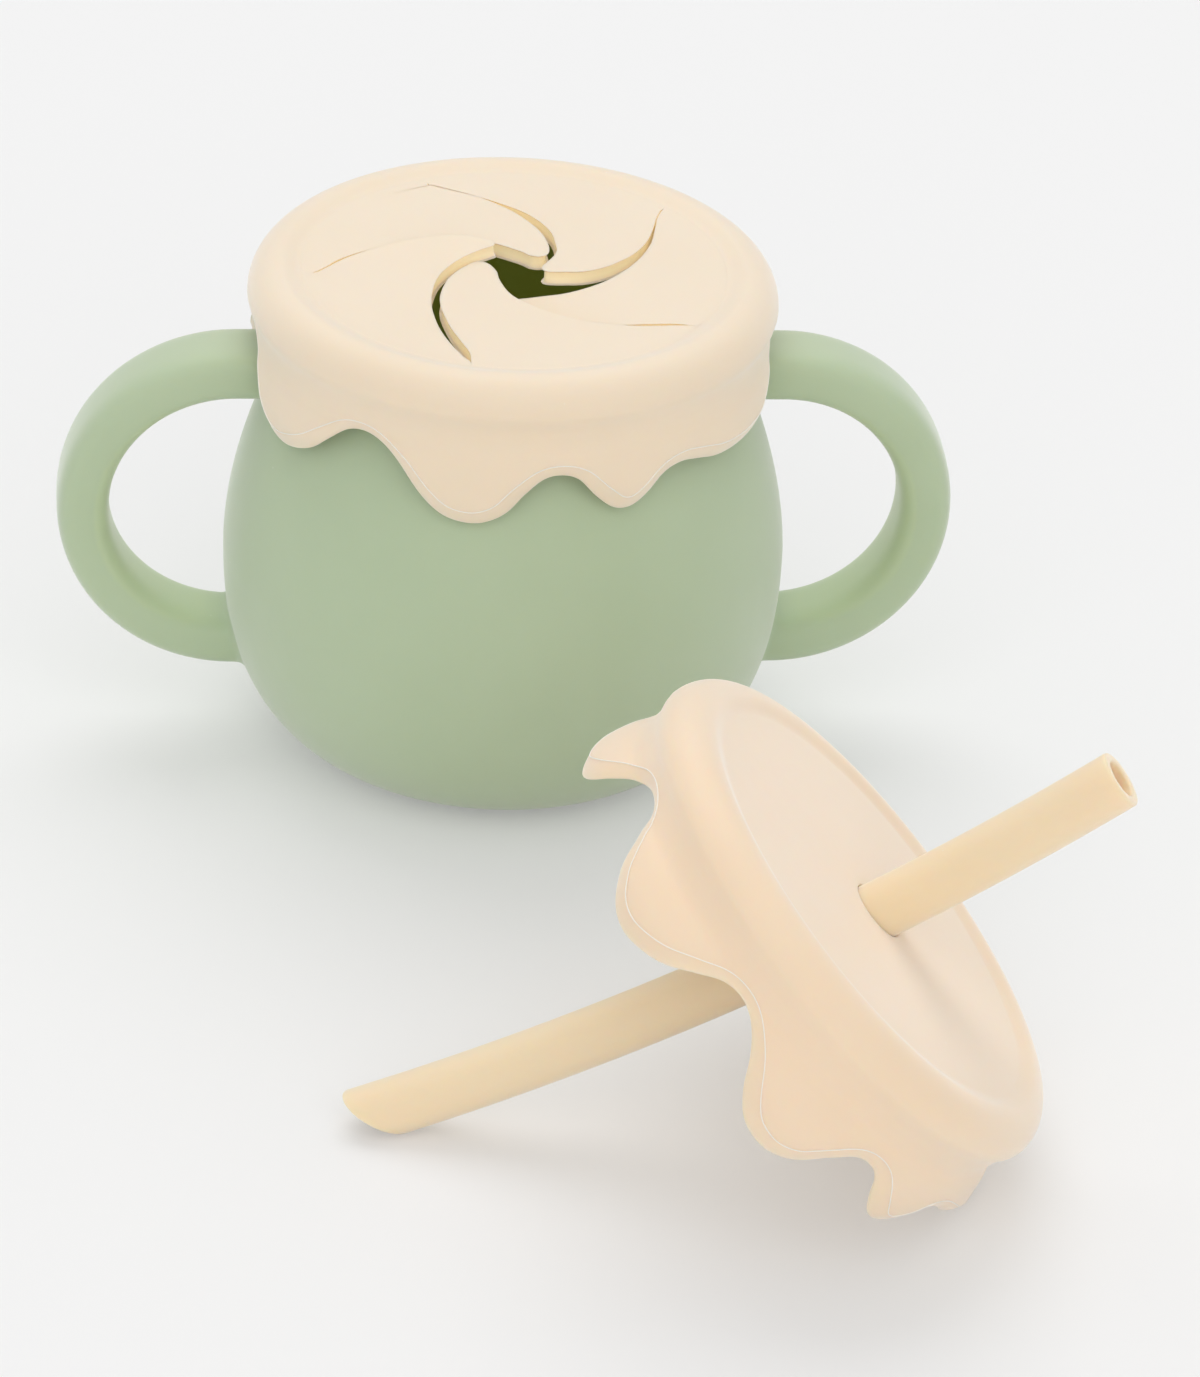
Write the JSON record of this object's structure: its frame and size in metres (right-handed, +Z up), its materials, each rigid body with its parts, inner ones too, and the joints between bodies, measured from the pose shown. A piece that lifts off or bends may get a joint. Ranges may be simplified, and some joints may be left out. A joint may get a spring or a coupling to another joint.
{
  "type": "toddler snack container",
  "caption": "Two-handled soft toddler snack cup with a slotted snack lid in place and a second lid carrying a bent straw beside it.",
  "frame": {"origin": "centre of the flat base that the cup stands on", "axes": "+Z up along the cup's axis; the two handles lie towards -X and +X, turned a few degrees about +Z; the second lid and its straw lie on the floor towards -Y, which is the front"},
  "size_m": [0.167, 0.2075, 0.0844],
  "materials": {
    "cup_bowl": "matte silicone",
    "left_handle": "matte silicone",
    "right_handle": "matte silicone",
    "snack_lid": "matte silicone",
    "petals": "matte silicone",
    "straw_lid": "matte silicone",
    "straw": "matte silicone, slightly translucent"
  },
  "bodies": {
    "cup": {"cup_bowl": "cup_bowl", "left_handle": "left_handle", "right_handle": "right_handle"},
    "snack_lid": {"snack_lid": "snack_lid"},
    "petal_1": {"petal_1": "petals"},
    "petal_2": {"petal_2": "petals"},
    "petal_3": {"petal_3": "petals"},
    "petal_4": {"petal_4": "petals"},
    "petal_5": {"petal_5": "petals"},
    "straw_lid": {"straw_lid": "straw_lid"},
    "straw": {"straw": "straw"}
  },
  "joints": [
    {"name": "snack_lid_lift", "type": "slide", "parent": "cup", "child": "snack_lid", "axis": [0, 0, 1], "range_m": [0, 0.06]},
    {"name": "petal_1_flex", "type": "hinge", "parent": "snack_lid", "child": "petal_1", "pos_m": [0.0008, 0.02329, 0.0814], "axis": [-0.9994, 0.0343, 0], "range_deg": [-58, 30], "stiffness_Nm_per_rad": 0.014},
    {"name": "petal_2_flex", "type": "hinge", "parent": "snack_lid", "child": "petal_2", "pos_m": [0.02239, 0.00644, 0.0814], "axis": [-0.2762, 0.9611, 0], "range_deg": [-58, 30], "stiffness_Nm_per_rad": 0.014},
    {"name": "petal_3_flex", "type": "hinge", "parent": "snack_lid", "child": "petal_3", "pos_m": [0.01304, -0.01931, 0.0814], "axis": [0.8287, 0.5597, 0], "range_deg": [-58, 30], "stiffness_Nm_per_rad": 0.014},
    {"name": "petal_4_flex", "type": "hinge", "parent": "snack_lid", "child": "petal_4", "pos_m": [-0.01433, -0.01837, 0.0814], "axis": [0.7884, -0.6152, 0], "range_deg": [-58, 30], "stiffness_Nm_per_rad": 0.014},
    {"name": "petal_5_flex", "type": "hinge", "parent": "snack_lid", "child": "petal_5", "pos_m": [-0.0219, 0.00796, 0.0814], "axis": [-0.3415, -0.9399, 0], "range_deg": [-58, 30], "stiffness_Nm_per_rad": 0.014},
    {"name": "straw_lid_lift", "type": "slide", "parent": "cup", "child": "straw_lid", "axis": [0, 0, 1], "range_m": [0, 0.06]},
    {"name": "straw_draw", "type": "hinge", "parent": "straw_lid", "child": "straw", "pos_m": [-0.19609, -0.12492, 0.43355], "axis": [0.0262, -0.9997, 0], "range_deg": [0, 11]}
  ]
}
